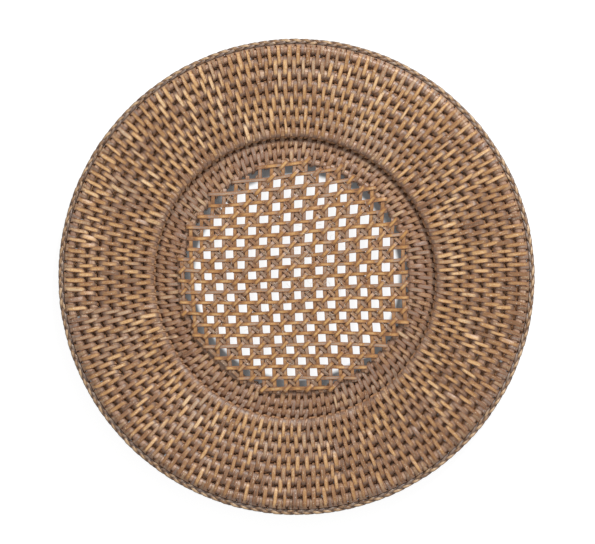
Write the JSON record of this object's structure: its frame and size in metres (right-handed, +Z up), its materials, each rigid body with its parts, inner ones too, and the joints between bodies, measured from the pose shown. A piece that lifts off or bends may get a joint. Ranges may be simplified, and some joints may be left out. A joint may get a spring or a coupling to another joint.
{
  "type": "charger plate",
  "caption": "Round coiled and lashed cane charger plate with a woven cane mesh middle, a raised rim and a plaited edge.",
  "frame": {"origin": "centre of the plate on the surface that it rests on", "axes": "+Z up, square to the plate; +Y points away from the viewer, up in the picture"},
  "size_m": [0.3299, 0.33, 0.0189],
  "materials": {
    "cane": "satin",
    "strip": "satin",
    "plait": "satin",
    "mesh": "satin"
  },
  "bodies": {
    "root": {"well_coil_1": "cane", "well_coil_2": "cane", "well_coil_3": "cane", "rim_coil_1": "cane", "rim_coil_2": "cane", "rim_coil_3": "cane", "rim_coil_4": "cane", "rim_coil_5": "cane", "rim_coil_6": "cane", "rim_coil_7": "cane", "rim_coil_8": "cane", "well_lashing_1": "strip", "well_lashing_2": "strip", "step_lashing": "strip", "rim_lashing_1": "strip", "rim_lashing_2": "strip", "rim_lashing_3": "strip", "rim_lashing_4": "strip", "rim_lashing_5": "strip", "outer_lashing_1": "strip", "outer_lashing_2": "strip", "well_underside": "strip", "rim_underside": "strip", "edge_stitches": "strip", "edge_plait_inner": "plait", "edge_plait_outer": "plait", "mesh_falling": "mesh", "mesh_upright": "mesh", "mesh_level": "mesh", "mesh_rising": "mesh"}
  },
  "joints": []
}
